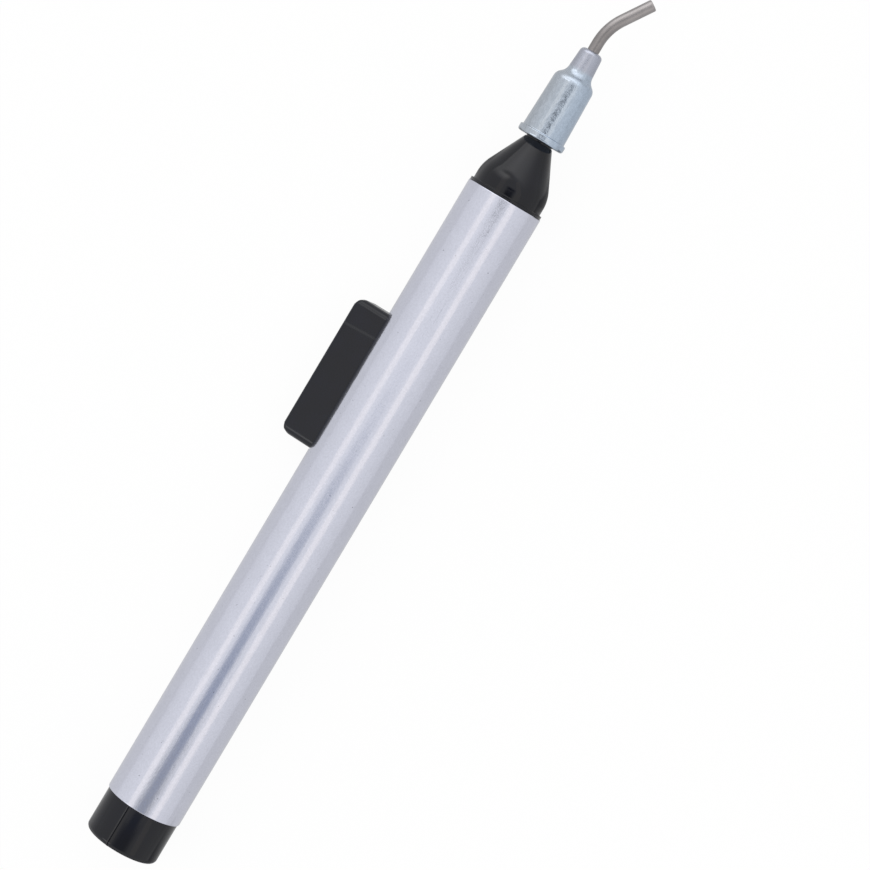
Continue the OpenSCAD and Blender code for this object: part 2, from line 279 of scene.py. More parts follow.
class PEN_PG_finish(bpy.types.PropertyGroup):
    """Colours and gloss of the pen's finishes"""

    aluminium: colour("Aluminium", "Satin aluminium of the tube", (0.64, 0.655, 0.75))
    aluminium_roughness: share("Aluminium roughness", "Roughness of the tube", 0.07)
    plastic: colour("Plastic", "Black plastic of the nose and the tail", (0.001, 0.0016, 0.0052))
    plastic_roughness: share("Plastic roughness", "Roughness of the nose and the tail", 0.08)
    # Painted highlight: a lighter plastic on one bead stands in for the highlight along the tail's
    # parting line
    painted_highlight: colour("Flash", "Lighter plastic along the mould's parting line", (0.022, 0.022, 0.025))
    button: colour("Button", "Black plastic of the button", (0.0012, 0.0022, 0.0075))
    button_roughness: share("Button roughness", "Roughness of the button", 0.2)
    # Roughness of the darker bead that paints the shade beside the parting line's highlight
    shaded_bead_roughness: share("Matt roughness", "Roughness where the mould left the plastic dull", 0.6)
    scuff: colour("Scuff", "Worn plastic of the scuff on the button", (0.014, 0.0155, 0.02))
    scuff_edge: length_fade("Scuff edge", "How far from its middle the scuff ends", 0.06, 0.3)
    scuff_slant: share("Scuff slant", "Slant of the scuff across the button", 0.06)
    plating: colour("Plating", "Bright plating of the hub", (0.455, 0.54, 0.655))
    # Painted reflection: the plating turns warmer and less blue on the button's side, over the
    # width below
    plating_warm_reflection: colour("Worn plating", "Plating that has lost its blue", (0.475, 0.52, 0.58))
    reflection_fade: length("Worn fade", "Width on either side over which the blue is lost", 3)
    plating_roughness: share("Plating roughness", "Roughness of the hub", 0.115)
    root_roughness: share("Root roughness", "How much rougher the hub is by its neck", 0.16)
    root_fade: length_fade("Root fade", "Where the hub grows rougher, from its neck", -4, -1.5)
    neck: colour("Neck", "Duller plating of the hub's neck", (0.42, 0.43, 0.5))
    neck_share: share("Neck share", "How much of the neck's plating is dull", 0.8)
    neck_fade: length("Neck fade", "Length on either side over which the neck grows dull", 0.4)
    steel: colour("Steel", "Satin stainless steel of the needle", (0.285, 0.27, 0.27))
    steel_roughness: share("Steel roughness", "Roughness of the needle", 0.33)
    # Painted highlight: where the needle's steel grows lighter towards its tip
    highlight_fade: length_fade("Polish fade", "Where the needle brightens, from its tip", -7.5, -3)
    rubber: colour("Rubber", "Black rubber of the bulb", (0.02, 0.02, 0.02))
    rubber_roughness: share("Rubber roughness", "Roughness of the bulb", 0.7)


class PEN_PG_stage(bpy.types.PropertyGroup):
    """Camera, floor, tent and lamps"""

    camera_height: length("Height", "Height of the camera above the pen's axis", 459)
    camera_x: length("Along", "How far the camera stands towards the needle", 39.54)
    camera_side: length("Aside", "How far the camera stands to the pen's blank side", 8.85)
    camera_tilt: angle("Tilt", "Tilt of the camera back along the pen", 4.552)
    camera_turn: angle("Turn", "Turn of the picture from the pen's axis", 59.12)
    focal_length: number("Lens", "Focal length of the lens", 130.51, unit="CAMERA")
    floor_size: length("Floor", "Width of the floor", 6000)
    floor_paper: colour("Paper", "Colour of the floor", (0.9, 0.9, 0.9))
    floor_glow: share("Floor glow", "Share of the floor's white that is free of shadow", 0.95)
    floor_mirrored: share("Floor mirrored", "The same share where gloss mirrors the floor", 0.7)
    floor_dimmed: share("Floor dimmed", "Brightness of the mirrored floor", 0.65)
    # Painted light and shadow on the floor as gloss mirrors it: brighter on the button's side,
    # darker by the nose and the tail
    floor_aside: share("Floor aside", "How much brighter that floor is on the button's side", 0.07)
    floor_ends: share("Floor ends", "How much darker that floor is by the nose and the tail", 0.85)
    floor_shift: length("Floor shift", "How far that dark lies to the blank side", 10)
    tent_glow: share("Tent", "Brightness of the white tent at the floor", 0.84)
    tent_overhead: share("Tent overhead", "How much brighter the tent is overhead", 0.145)
    tent_aside: share("Tent aside", "How much brighter the tent is on the button's side", 0.02)
    tent_foot: share("Tent foot", "Least height that slopes in the tent are measured with", 0.05)
    gap_depth: share("Gap", "How much light the tent's gap around the camera takes away", 0.59)
    gap_step: share("Gap step", "Share of that light which goes at the gap's near edge", 0.65)
    gap_shift: share("Gap shift", "How far the gap lies to the blank side, as a slope", 0.035)
    gap_widening: share("Gap widening", "How much wider the gap is at its wide end", 0.8)
    gap_blue: colour("Gap blue", "Colour of the gap behind the camera", (0, 0.07, 0.23))
    gap_grey: colour("Gap grey", "Colour of the rest of the gap", (0.01, 0.02, 0.04))
    strip_depth: number("Strip", "Depth of the gap before the camera, against the rest", 1.35)
    front_glow: number("Front", "How much brighter the tent is before the needle", 0.92, min=0)
    front_aside: share("Front aside", "How much brighter the front is on the button's side", 0.5)
    front_low: share("Front low", "Share of the front's brightness near the floor", 0.55)
    front_lean: share("Front lean", "How far the front's top sinks to the button's side", 0.6)
    rear_glow: number("Rear", "Brightness of the patch behind the tail, against the front", 1.6)
    lamp_glow: share("Lamp glow", "Brightness of the strip lamps on top of the tent", 0.19)
    lamp_colour: colour("Lamp colour", "Colour of the strip lamps", (1, 0.84, 0.64))
    lamp_angle: angle("Lamp angle", "Angle of the strip lamps from overhead", 32)
    lamp_distance: length("Lamp distance", "Distance of the strip lamps", 600)
    lamp_width: length("Lamp width", "Width of the strip lamps", 170)
    lamp_length: length("Lamp length", "Length of the strip lamps", 1000)
    lamp_narrowing: share("Lamp narrowing", "Share of that width on the blank side", 0.9)
    lamp_turn: angle("Lamp turn", "Turn of the blank side's lamp from the pen's axis", 30)


class PEN_PG_fades(bpy.types.PropertyGroup):
    """Edges of the tent's light, as slopes or directions, and of the mirrored floor's shade"""

    gap_near: fade("Gap near", "Slope where the gap behind the camera begins", -0.112, -0.09)
    gap_deep: fade("Gap deep", "Slope where the gap takes all of the light", -0.185, -0.15)
    gap_wide: fade("Gap wide", "Slope where the gap grows wide and grey", -0.232, -0.226)
    gap_end: fade("Gap end", "Slope where the gap ends", -1.2, -0.6)
    gap_grey: fade("Gap grey", "Slope where the gap's blue ends", -0.09, -0.03)
    gap_side: fade("Gap side", "Slope across the pen where the gap ends", 0.1, 0.36)
    gap_foot: fade("Gap foot", "Height where the gap ends", 0.2, 0.5)
    strip_from: fade("Strip from", "Slope where the gap before the camera begins", -0.012, 0.03)
    strip_to: fade("Strip to", "Slope where the gap before the camera ends", 0.09, 0.16)
    front_along: fade("Front along", "Where the front begins along the pen", 0.2, 0.5)
    front_side: fade("Front side", "Where the front begins on the blank side", -0.75, 0.2)
    front_aside: fade("Front aside", "Where the front grows brighter aside", 0.1, 0.5)
    front_foot: fade("Front foot", "Height where the front begins", 0.03, 0.1)
    front_climb: fade("Front climb", "Height where the front grows brighter", 0.2, 0.6)
    front_top: fade("Front top", "Height where the front ends", 0.7, 0.9)
    front_lean: fade("Front lean", "Leaning height where the front's far part ends", 0.72, 0.95)
    front_far: fade("Front far", "Where the front's far part begins along the pen", 0.48, 0.6)
    rear_from: fade("Rear from", "Where the patch behind the tail begins", -0.7, -0.62)
    rear_to: fade("Rear to", "Where the patch behind the tail ends", -0.42, -0.34)
    rear_side: fade("Rear side", "Where the patch behind the tail begins aside", 0.35, 0.5)
    rear_foot: fade("Rear foot", "Height where that patch begins", 0.4, 0.55)
    # Edges of the painted light and shadow on the mirrored floor
    floor_aside: length_fade("Floor aside", "Where the floor grows brighter", -40, 40)
    floor_close: length_fade("Floor close", "Distance where the dark by the ends is over", 18, 25)
    floor_nose: length_fade("Floor nose", "Where the dark by the nose begins", 103.5, 106)
    floor_hub: length_fade("Floor hub", "Where the dark by the nose ends", 110, 113)
    floor_tail: length_fade("Floor tail", "Where the dark by the tail ends", -12, -2)


class Wire:
    """A socket in a node tree. Plain expressions on wires add the Math nodes that they need."""

    def __init__(self, tree, socket=None):
        self.tree = tree
        self.socket = socket

    def node(self, kind, settings=None, links=None, out=0):
        """Adds a node with its settings and its sockets' values or wires, and gives an output."""
        made = self.tree.nodes.new(kind)
        for name, value in (settings or {}).items():
            setattr(made, name, value)
        for key, value in (links or {}).items():
            socket = Wire.find(made.inputs, key)
            if isinstance(value, Wire):
                self.tree.links.new(value.socket, socket)
            else:
                socket.default_value = value
        return Wire(self.tree, Wire.find(made.outputs, out)) if made.outputs else None

    def out(self, key):
        """Another output of the same node."""
        return Wire(self.tree, Wire.find(self.socket.node.outputs, key))

    @staticmethod
    def find(sockets, key):
        """The socket with this number, identifier or name."""
        if isinstance(key, int):
            return sockets[key]
        found = (socket for socket in sockets if socket.identifier == key)
        return next(found, None) or sockets[key]

    def math(self, operation, *others):
        """One Math node on this wire and other wires or numbers."""
        links = dict(enumerate((self, *others)))
        return self.node("ShaderNodeMath", {"operation": operation}, links)

    def between(self, low, high):
        """A smooth step from 0 where this wire is low to 1 where it is high."""
        links = {"Value": self, "From Min": low, "From Max": high}
        return self.node("ShaderNodeMapRange", {"interpolation_type": "SMOOTHSTEP"}, links)

    def until(self, low, high):
        """A smooth step from 1 where this wire is low to 0 where it is high."""
        return 1 - self.between(low, high)

    def xyz(self):
        """The three parts of a vector."""
        split = self.node("ShaderNodeSeparateXYZ", links={0: self})
        return split, split.out(1), split.out(2)

    def __add__(self, other):
        return self.math("ADD", other)

    def __sub__(self, other):
        return self.math("SUBTRACT", other)

    def __rsub__(self, other):
        return self.node("ShaderNodeMath", {"operation": "SUBTRACT"}, {0: other, 1: self})

    def __mul__(self, other):
        return self.math("MULTIPLY", other)

    def __truediv__(self, other):
        return self.math("DIVIDE", other)

    __radd__ = __add__
    __rmul__ = __mul__


def new_tree(name, inputs):
    """Starts a Geometry Nodes tree with these named inputs, and gives its incoming geometry."""
    tree = bpy.data.node_groups.new(name, "GeometryNodeTree")
    tree.interface.new_socket("Geometry", in_out="INPUT", socket_type="NodeSocketGeometry")
    for label, kind in inputs.items():
        tree.interface.new_socket(label, in_out="INPUT", socket_type="NodeSocket" + kind)
    tree.interface.new_socket("Geometry", in_out="OUTPUT", socket_type="NodeSocketGeometry")
    return Wire(tree).node("NodeGroupInput")


def end_tree(geometry, start):
    """Ends a tree in one realized geometry with the tree's material."""
    whole = geometry.node("GeometryNodeRealizeInstances", links={"Geometry": geometry})
    links = {"Geometry": whole, "Material": start.out("Material")}
    painted = geometry.node("GeometryNodeSetMaterial", links=links)
    geometry.node("NodeGroupOutput", links={"Geometry": painted})
    return geometry.tree


def circle(start, steps, radius):
    """A circle about the origin."""
    links = {"Resolution": steps, "Radius": radius}
    return start.node("GeometryNodeCurvePrimitiveCircle", {"mode": "RADIUS"}, links)


def filleted(start, curve, radius):
    """A curve with its corners rounded."""
    links = {"Curve": curve, "Count": start.out("Corner steps"), "Radius": radius}
    return start.node("GeometryNodeFilletCurve", {"mode": "POLY"}, links)


def rounded_path(start):
    """The curve along a tree's incoming edges, rounded as the attribute of its corners says."""
    curve = start.node("GeometryNodeMeshToCurve", links={"Mesh": start})
    settings = {"data_type": "FLOAT"}
    radius = start.node("GeometryNodeInputNamedAttribute", settings, {"Name": ROUND})
    return filleted(start, curve, radius)


def turned_tree():
    """Rounds the corners of an outline and turns it about the pen's axis."""
    inputs = {
        "Place": "Vector", "Steps": "Int", "Corner steps": "Int", "Cuts": "Int",
        "Sharp from": "Float", "Material": "Material",
    }
    start = new_tree("Turned piece", inputs)
    links = {"Curve": rounded_path(start), "Cuts": start.out("Cuts")}
    outline = start.node("GeometryNodeSubdivideCurve", links=links)
    carrier = circle(start, start.out("Steps"), CARRIER_RADIUS)
    links = {"Curve": carrier, "Profile Curve": outline}
    wall = start.node("GeometryNodeCurveToMesh", links=links)
    links = {"Geometry": wall, "Distance": WELD}
    welded = start.node("GeometryNodeMergeByDistance", links=links)
    links = {"Geometry": welded, "Translation": start.out("Place"), "Rotation": (0, -pi / 2, 0)}
    laid = start.node("GeometryNodeTransform", links=links)
    bend = start.node("GeometryNodeInputMeshEdgeAngle")
    links = {"Geometry": laid, "Shade Smooth": bend.math("LESS_THAN", start.out("Sharp from"))}
    smooth = start.node("GeometryNodeSetShadeSmooth", {"domain": "EDGE"}, links)
    return end_tree(smooth, start)


def slot_tree():
    """Cuts a slot with round corners through the wall of a tube."""
    inputs = {
        "Length": "Float", "Width": "Float", "Corner": "Float", "Corner steps": "Int",
        "From": "Vector", "To": "Vector", "Material": "Material",
    }
    start = new_tree("Slotted tube", inputs)
    links = {"Width": start.out("Length"), "Height": start.out("Width")}
    plan = start.node("GeometryNodeCurvePrimitiveQuadrilateral", {"mode": "RECTANGLE"}, links)
    links = {"Start": start.out("From"), "End": start.out("To")}
    way = start.node("GeometryNodeCurvePrimitiveLine", {"mode": "POINTS"}, links)
    outline = filleted(start, plan, start.out("Corner"))
    links = {"Curve": way, "Profile Curve": outline, "Fill Caps": True}
    cutter = start.node("GeometryNodeCurveToMesh", links=links)
    settings = {"operation": "DIFFERENCE", "solver": "EXACT"}
    links = {"Mesh 1": start, "Mesh 2": cutter}
    return end_tree(start.node("GeometryNodeMeshBoolean", settings, links), start)


def bent_tree():
    """Bends a straight tube aside along an arc, from a station on and through an angle."""
    inputs = {
        "Place": "Vector", "From": "Float", "Radius": "Float", "Angle": "Float",
        "Material": "Material",
    }
    start = new_tree("Bent tube", inputs)
    place_x, place_y, _ = start.out("Place").xyz()
    x, y, z = start.node("GeometryNodeInputPosition").xyz()
    radius = start.out("Radius")
    bend_from = place_x + start.out("From")
    along = x - bend_from
    turn = (along / radius).math("MAXIMUM", 0.0).math("MINIMUM", start.out("Angle"))
    sine, cosine = turn.math("SINE"), turn.math("COSINE")
    straight = along - turn * radius
    reach = radius + (y - place_y)
    turned_x = bend_from + reach * sine + straight * cosine
    turned_y = place_y - radius + reach * cosine - straight * sine
    position = start.node("ShaderNodeCombineXYZ", links={0: turned_x, 1: turned_y, 2: z})
    bent = start.node("GeometryNodeSetPosition", links={"Geometry": start, "Position": position})
    return end_tree(bent, start)


def bead_tree():
    """Runs a fine round bead along a path."""
    inputs = {
        "Radius": "Float", "Steps": "Int", "Corner steps": "Int", "Material": "Material",
    }
    start = new_tree("Moulded bead", inputs)
    section = circle(start, start.out("Steps"), start.out("Radius"))
    links = {"Curve": rounded_path(start), "Profile Curve": section, "Fill Caps": True}
    return end_tree(start.node("GeometryNodeCurveToMesh", links=links), start)


def path_mesh(name, points, rounds, closed):
    """A mesh of the edges from point to point, with the rounding of each corner as an attribute."""
    mesh = bpy.data.meshes.new(name)
    edges = [(i, i + 1) for i in range(len(points) - 1)]
    if closed:
        edges.append((len(points) - 1, 0))
    mesh.from_pydata(points, edges, [])
    mesh.attributes.new(ROUND, "FLOAT", "POINT").data.foreach_set("value", rounds)
    return mesh


def changed(mesh, kind, settings, inputs=None):
    """A copy of a mesh after one modifier, with values for the named inputs of its node tree."""
    holder = bpy.data.objects.new(mesh.name, mesh)
    modifier = holder.modifiers.new(kind, kind)
    for name, value in settings.items():
        setattr(modifier, name, value)
    for item in modifier.node_group.interface.items_tree if inputs else ():
        if item.in_out == "INPUT" and item.name in inputs:
            modifier[item.identifier] = inputs[item.name]
    bpy.context.scene.collection.objects.link(holder)
    graph = bpy.context.evaluated_depsgraph_get()
    result = bpy.data.meshes.new_from_object(holder.evaluated_get(graph), depsgraph=graph)
    bpy.data.objects.remove(holder)
    return result


def grown(base, tree, inputs):
    """The plain mesh that a tree makes from a base mesh, right side out."""
    mesh = changed(base, "NODES", {"node_group": tree}, inputs)
    bpy.data.node_groups.remove(tree)
    return face_outwards(mesh)


def face_outwards(mesh):
    """Turns a closed mesh right side out."""
    shell = bmesh.new()
    shell.from_mesh(mesh)
    if shell.calc_volume(signed=True) < 0:
        bmesh.ops.reverse_faces(shell, faces=shell.faces)
        shell.to_mesh(mesh)
    shell.free()
    return mesh


def turned(name, corners, material, closed=True, steps=192, corner_steps=CORNER_STEPS, cuts=0):
    """A mesh turned about the pen's axis from corners of (station, radius, rounding)."""
    points = [(radius - CARRIER_RADIUS, along, 0) for along, radius, _ in corners]
    base = path_mesh(name, points, [rounding for _, _, rounding in corners], closed)
    values = {
        "Place": REAR, "Steps": steps, "Corner steps": corner_steps, "Cuts": cuts,
        "Sharp from": SHARP_FROM, "Material": material,
    }
    return grown(base, turned_tree(), values)


def curved_step(end, wide, narrow, rounding, fillet):
    """The two corners of a step to a smaller radius, round at its start and filleted at its end."""
    steepest = acos(1 - (wide - narrow) / (rounding + fillet))
    start = end - (rounding + fillet) * sin(steepest)
    half = tan(steepest / 2)
    return [(start + rounding * half, wide, rounding), (end - fillet * half, narrow, fillet)]


def stem_corners(nose, gap):
    """Corners of the barbed stem from its free end to the nose, larger in radius by a gap."""
    free_end = station("nose_cone", 0)
    stem = nose.stem_diameter / 2 + gap
    barb = nose.barb_diameter / 2 + gap
    corners = []
    for i in range(nose.barb_count):
        corners.append((free_end + i * nose.barb_length, stem, 0))
        corners.append((free_end + (i + 1) * nose.barb_length, barb, 0))
    corners.append((free_end + nose.barb_count * nose.barb_length, stem, 0))
    corners.append((station("barrel", 1) - nose.plug_length, stem, 0))
    return corners


def taper_radius(nose, along):
    """Radius of the nose's slip taper at a station."""
    root = station("nose_cone", 1) - nose.taper_length
    return nose.taper_diameter / 2 - nose.taper_slope / 2 * (along - root)


def block(name, low, high, material):
    """A closed box between two corners in the button's own axes."""
    shell = bmesh.new()
    bmesh.ops.create_cube(shell, size=1)
    size = [b - a for a, b in zip(low, high)]
    middle = [(a + b) / 2 for a, b in zip(low, high)]
    bmesh.ops.scale(shell, vec=size, verts=shell.verts)
    bmesh.ops.translate(shell, vec=middle, verts=shell.verts)
    mesh = bpy.data.meshes.new(name)
    shell.to_mesh(mesh)
    shell.free()
    mesh.materials.append(material)
    return mesh


def joined(mesh, other, operation):
    """The exact union, difference or intersection of two closed meshes."""
    holder = bpy.data.objects.new(other.name, other)
    bpy.context.scene.collection.objects.link(holder)
    settings = {"object": holder, "operation": operation, "solver": "EXACT"}
    result = changed(mesh, "BOOLEAN", settings)
    bpy.data.objects.remove(holder)
    return result


def softened(mesh, rounding):
    """A copy of a mesh with each edge rounded by the radius that rounding gives for its ends."""
    radii = [rounding(*(mesh.vertices[i].co for i in edge.vertices)) for edge in mesh.edges]
    widest = max(radii)
    weights = mesh.attributes.new("bevel_weight_edge", "FLOAT", "EDGE")
    weights.data.foreach_set("value", [radius / widest for radius in radii])
    settings = {"limit_method": "WEIGHT", "width": widest, "segments": CORNER_STEPS}
    return changed(mesh, "BEVEL", settings)


def even_normals(mesh, sharp_from):
    """Keeps flat faces flat and round edges smooth."""
    mesh.shade_smooth()
    mesh.set_sharp_from_angle(angle=sharp_from)
    return changed(mesh, "WEIGHTED_NORMAL", {"keep_sharp": True})


def round_normals(mesh, least):
    """Sets the normals of the tube's round walls straight out from the pen's axis."""
    mesh.shade_smooth()
    mesh.set_sharp_from_angle(angle=SHARP_FROM)
    normals = [Vector((0, 0, 0))] * len(mesh.loops)
    for face in mesh.polygons:
        for loop in face.loop_indices:
            arm = mesh.vertices[mesh.loops[loop].vertex_index].co - REAR
            arm -= arm.project(FORWARD)
            facing = arm.normalized().dot(face.normal)
            if abs(facing) > least:
                normals[loop] = arm.normalized() * (1 if facing > 0 else -1)
    mesh.normals_split_custom_set(normals)


def piece(name, mesh, body, slot, *nodes):
    """A finished piece of the pen, on the body that carries it and in place of its plain solids."""
    mesh.name = name
    made = bpy.data.objects.new(name, mesh)
    bpy.context.scene.collection.objects.link(made)
    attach(made, body)
    if nodes:
        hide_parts(*nodes)
    return made


def new_material(name):
    """A material with nothing in it yet, and a wire on Object coordinates."""
    material = bpy.data.materials.new(name)
    material.use_nodes = True
    material.node_tree.nodes.clear()
    place = Wire(material.node_tree).node("ShaderNodeTexCoord", out="Object")
    return material, place


def finished(material, links):
    """Closes a material with one surface shader."""
    start = Wire(material.node_tree)
    surface = start.node("ShaderNodeBsdfPrincipled", links=links)
    start.node("ShaderNodeOutputMaterial", links={"Surface": surface})
    return material


def noise(place, along, across, detail=3.0, roughness=0.55):
    """Soft noise with so many waves to the metre along the pen and across it."""
    links = {"Vector": place, "Location": NOISE_PLACE, "Scale": (along, across, across)}
    spread = place.node("ShaderNodeMapping", links=links)
    links = {"Vector": spread, "Scale": 1.0, "Detail": detail, "Roughness": roughness}
    return place.node("ShaderNodeTexNoise", {"noise_dimensions": "3D"}, links)


def blend(mask, first, second):
    """A colour between two others, each a wire or three numbers."""
    links = {"Factor_Float": mask}
    for key, tint in (("A_Color", first), ("B_Color", second)):
        links[key] = tint if isinstance(tint, Wire) else (*tint, 1)
    return mask.node("ShaderNodeMix", {"data_type": "RGBA"}, links, "Result_Color")


def shade(tint, factor):
    """A colour made lighter or darker."""
    return tuple(min(1.0, part * factor) for part in tint)


def mottled(mask, tint, dark, light):
    """A colour that goes from a darker to a lighter shade of a tint."""
    return blend(mask, shade(tint, dark), shade(tint, light))


def uneven(level, *waves):
    """A value around a level, from pairs of a noise and how far it moves the value in all."""
    moved = level - sum(reach for _, reach in waves) / 2
    for wave, reach in waves:
        moved = wave * reach + moved
    return moved


def relief(height, depth):
    """The normal of a surface with so much relief, in metres."""
    links = {"Height": height, "Strength": 1.0, "Distance": depth}
    return height.node("ShaderNodeBump", links=links)


def satin_aluminium(look):
    """Drawn aluminium: hairlines along the tube, an even grain and a few dark specks."""
    material, place = new_material("satin_aluminium")
    grain = noise(place, 600, 2700, roughness=0.7)
    fleck = noise(place, 3300, 3300, detail=2.0, roughness=0.7)
    hairline = noise(place, 60, 12000, detail=2.0)
    cloud = noise(place, 420, 420)
    speck = noise(place, 1900, 1900, detail=1.0).between(*SPECK)
    mask = (fleck * 0.75 + cloud * 0.25).between(*CONTRAST)
    drawn = mottled(mask, look.aluminium, 0.955, 1.04)
    return finished(material, {
        "Base Color": blend(speck * 0.55, drawn, shade(look.aluminium, 0.35)),
        "Metallic": 1.0,
        "Roughness": uneven(look.aluminium_roughness, (cloud, 0.03), (fleck, 0.03)),
        "Normal": relief(grain * 0.65 + hairline * 0.35, DRAWN_RELIEF),
    })


def black_plastic(look, name, tint, roughness, depth=MOULDED_RELIEF, scuff_at=None):
    """Moulded black plastic with a faint grain and handling wear, and perhaps a scuff across it."""
    material, place = new_material(name)
    grain = noise(place, 5200, 5200, detail=2.0)
    cloud = noise(place, 260, 260)
    worn = mottled(cloud.between(*WEAR), tint, 0.85, 1.25)
    if scuff_at is not None:
        along, aside, _ = place.xyz()
        off = (along - scuff_at + aside * look.scuff_slant).math("ABSOLUTE")
        worn = blend(off.until(*look.scuff_edge), worn, look.scuff)
    return finished(material, {
        "Base Color": worn,
        "Roughness": uneven(roughness, (cloud, 0.06)),
        "Specular IOR Level": PLASTIC_GLOSS,
        "Normal": relief(grain, depth),
    })


def painted_shade_plastic(look, name):
    """The same plastic, darker and less glossy, that paints the shade beside a lighter bead."""
    material, place = new_material(name)
    grain = noise(place, 5200, 5200, detail=2.0)
    return finished(material, {
        "Base Color": mottled(grain.between(*CONTRAST), look.plastic, 0.5, 1),
        "Roughness": uneven(look.shaded_bead_roughness, (grain, 0.2)),
        "Specular IOR Level": SHADE_GLOSS,
        "Normal": relief(grain, MOULDED_RELIEF),
    })


def bright_plating(look, neck_from):
    """Bright plating, slightly mottled over a turned surface and duller on the neck, with a painted
    reflection that makes it warmer on the button's side and bluer on the blank side.
    """
    material, place = new_material("bright_plating")
    mottle = noise(place, 1100, 2400)
    grain = noise(place, 4200, 4200, detail=2.0)
    along, aside, _ = place.xyz()
    neck = along.between(neck_from - look.neck_fade, neck_from + look.neck_fade)
    root = along.between(*(neck_from + step for step in look.root_fade))
    # Painted reflection: warmer, less blue plating on the button's side, bluer plating on the blank
    # side
    worn = aside.between(REAR.y - look.reflection_fade, REAR.y + look.reflection_fade)
    fleck = (mottle * 0.5 + grain * 0.5).between(*CONTRAST)
    blued, plain = (mottled(fleck, tint, 0.86, 1.06) for tint in (look.plating, look.plating_warm_reflection))
    roughness = uneven(look.plating_roughness, (mottle, 0.06), (grain, 0.03))
    return finished(material, {
        "Base Color": blend(neck * look.neck_share, blend(worn, blued, plain), look.neck),
        "Metallic": 1.0,
        "Roughness": roughness + root * look.root_roughness,
        "Normal": relief(mottle * 0.8 + grain * 0.2, PLATED_RELIEF),
    })


def satin_steel(look):
    """Satin stainless steel, painted lighter towards the needle's tip as a painted highlight."""
    material, place = new_material("satin_steel")
    ground = noise(place, 600, 900)
    grain = noise(place, 8000, 8000, detail=2.0)
    along, _, _ = place.xyz()
    # Painted highlight: lighter steel towards the needle's tip
    tip_highlight = along.between(*(TIP["pos_m"][0] + step for step in look.highlight_fade))
    mask = ground.between(*CONTRAST) * 0.4 + tip_highlight * 0.6
    return finished(material, {
        "Base Color": mottled(mask, look.steel, 0.93, 1.3),
        "Metallic": 1.0,
        "Roughness": uneven(look.steel_roughness, (ground, 0.1)),
        "Normal": relief(grain, STEEL_RELIEF),
    })


def soft_rubber(look):
    """Matt black rubber with a faint bloom."""
    material, place = new_material("soft_rubber")
    bloom = noise(place, 700, 700)
    return finished(material, {
        "Base Color": mottled(bloom.between(*BLOOM), look.rubber, 1, 1.8),
        "Roughness": uneven(look.rubber_roughness, (bloom, 0.1)),
        "Normal": relief(bloom, RUBBER_RELIEF),
    })


class PEN_OT_tube(bpy.types.Operator):
    """Makes the drawn tube with the button's slot"""

    bl_idname = "pen.make_tube"
    bl_label = "Make tube"

    def execute(self, context):
        sizes = context.scene.pen_tube
        button = context.scene.pen_button
        material = satin_aluminium(context.scene.pen_finish)
        outer = sizes.diameter / 2
        inner = outer - sizes.wall
        front = station("barrel", 1)
        corners = [
            (0, inner, sizes.edge), (0, outer, sizes.edge),
            (front, outer, sizes.edge), (front, inner, sizes.edge),
        ]
        ring = turned("tube_ring", corners, material, steps=256, corner_steps=4)
        middle = REAR + FORWARD * (BUTTON_X - button.offset)
        room = 2 * sizes.slot_gap
        values = {
            "Length": button.length + room, "Width": button.width + room,
            "Corner": sizes.slot_corner, "Corner steps": CORNER_STEPS, "From": middle,
            "To": middle + OUTWARD * sizes.diameter, "Material": material,
        }
        mesh = grown(ring, slot_tree(), values)
        round_normals(mesh, least=0.99)
        piece("drawn_tube", mesh, "pen_body", "satin_aluminium", "barrel")
        return {"FINISHED"}


class PEN_OT_tail(bpy.types.Operator):
    """Makes the tail plug and the parting lines of its mould"""

    bl_idname = "pen.make_tail"
    bl_label = "Make tail plug"

    def execute(self, context):
        sizes = context.scene.pen_tail
        look = context.scene.pen_finish
        material = black_plastic(look, "tail_plastic", look.plastic, look.plastic_roughness)
        end = station("tail_plug", 0)
        front = station("tail_plug", 1)
        cap = sizes.diameter / 2
        plug = sizes.plug_diameter / 2
        inside = plug - sizes.plug_wall
        corners = [
            (end, 0, 0), (end, cap, sizes.end_edge), (0, cap, sizes.rim_edge), (0, plug, 0),
            (front, plug, sizes.lead_in), (front, inside, 0),
            (end + sizes.end_thickness, inside, 0), (end + sizes.end_thickness, 0, 0),
        ]
        mesh = turned("tail_cap", corners, material, closed=False)
        piece("tail_cap", mesh, "pen_body", "black_plastic", "tail_plug")
        sunk = sizes.parting_line * sizes.parting_depth
        pitch = sizes.parting_pitch * sizes.parting_line / cap
        # The lighter bead paints the parting line's highlight, and the darker, duller bead beside
        # it paints its shaded side
        painted_highlight = black_plastic(look, "flash_plastic", look.painted_highlight, look.button_roughness)
        parting = painted_shade_plastic(look, "parting_plastic")
        beads = (("tail_flash_line", 0, painted_highlight), ("tail_parting_line", -pitch, parting))
        for name, shift, finish in beads:
            lines = bmesh.new()
            for turn in (0, pi):
                around = sizes.parting_angle + shift + turn
                out = Matrix.Rotation(around, 3, -FORWARD) @ Vector((0, 0, 1))
                rim = REAR + out * (cap - sunk) - FORWARD * sizes.rim_edge
                corner = REAR + out * (cap - sunk) + FORWARD * (end + sunk)
                points = [corner - out * (sizes.end_edge - sunk), corner, rim]
                bead = path_mesh("parting_path", points, [0, sizes.end_edge - sunk, 0], False)
                values = {
                    "Radius": sizes.parting_line, "Steps": BEAD_STEPS,
                    "Corner steps": CORNER_STEPS, "Material": finish,
                }
                lines.from_mesh(grown(bead, bead_tree(), values))
            mesh = bpy.data.meshes.new(name)
            lines.to_mesh(mesh)
            lines.free()
            mesh.materials.append(finish)
            mesh.shade_smooth()
            piece(name, mesh, "pen_body", "black_plastic")
        return {"FINISHED"}


